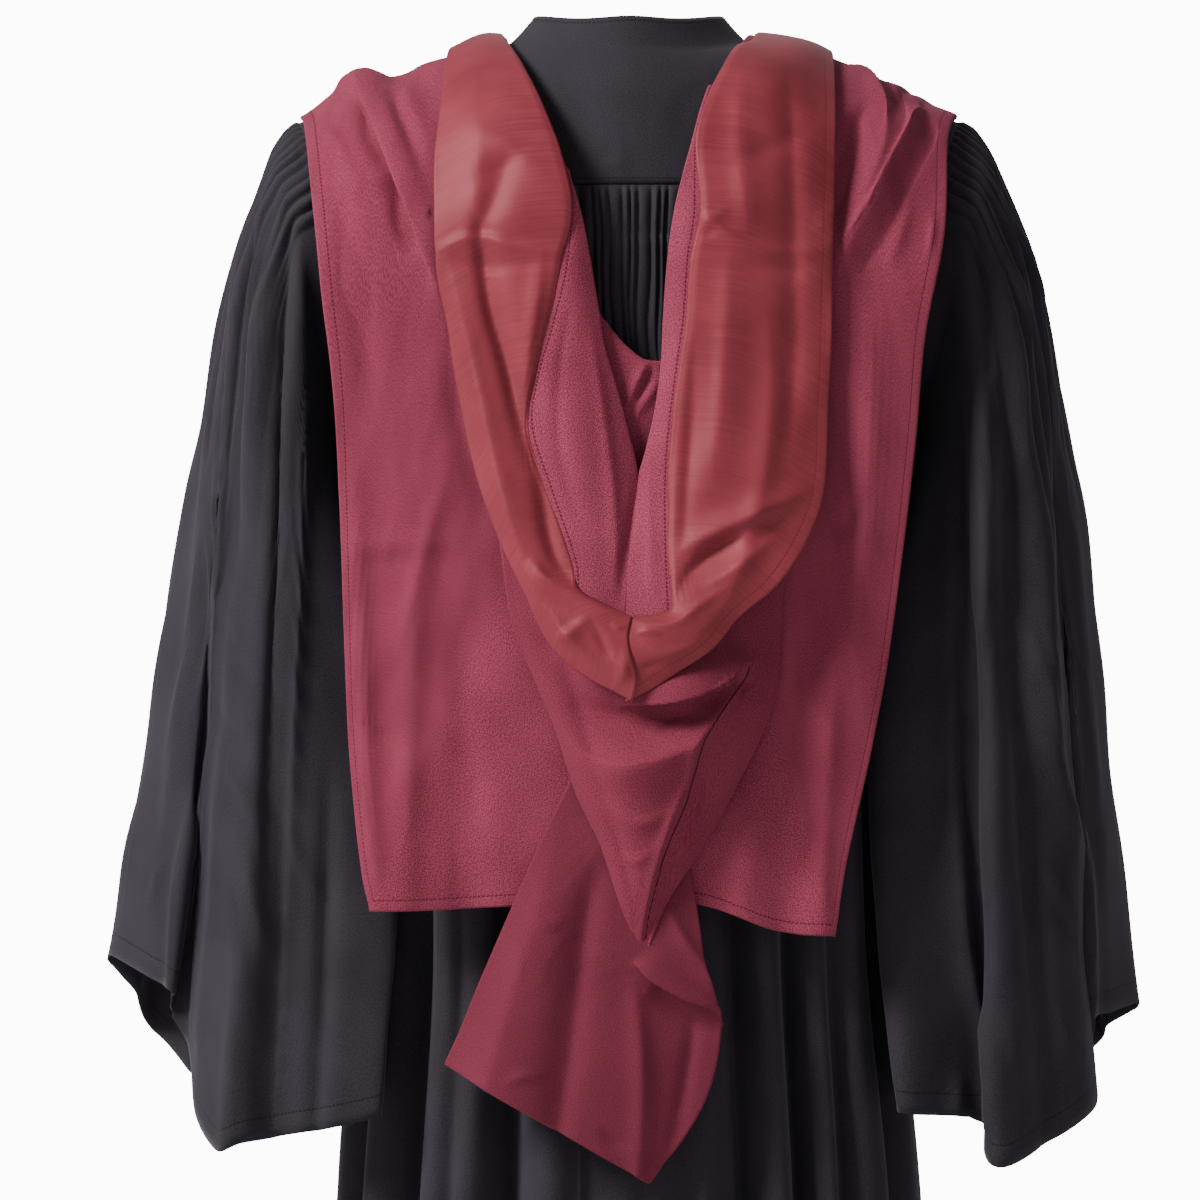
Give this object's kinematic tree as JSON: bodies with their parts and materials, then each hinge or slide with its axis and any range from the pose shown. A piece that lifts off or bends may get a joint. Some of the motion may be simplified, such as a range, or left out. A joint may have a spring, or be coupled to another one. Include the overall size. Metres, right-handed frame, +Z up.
{
  "type": "graduation gown with hood",
  "caption": "Long open-fronted gown with a fluted back and wide gathered sleeves, under a square-caped hood with a turned-out satin cowl and a hanging tail.",
  "frame": {"origin": "in the middle of the neck opening, at the level where the wearer's shoulders carry the cloth", "axes": "+X to the wearer's right, +Y to the wearer's front, +Z up; the back of the gown faces -Y"},
  "size_m": [0.7686, 0.3358, 1.1796],
  "materials": {
    "gown_black": "matt black wool blend",
    "hood_maroon": "matt maroon wool blend",
    "hood_satin": "soft satin, rose brown"
  },
  "bodies": {
    "root": {"gown_yoke": "gown_black", "gown_back": "gown_black", "gown_front_left": "gown_black", "gown_front_right": "gown_black", "gown_sleeve_left": "gown_black", "gown_sleeve_right": "gown_black", "hood_cape": "hood_maroon", "hood_lining_left": "hood_maroon", "hood_lining_right": "hood_maroon", "hood_satin_left": "hood_satin", "hood_satin_right": "hood_satin", "hood_bag": "hood_maroon", "hood_tail": "hood_maroon", "hood_neckband": "hood_maroon"}
  },
  "joints": []
}
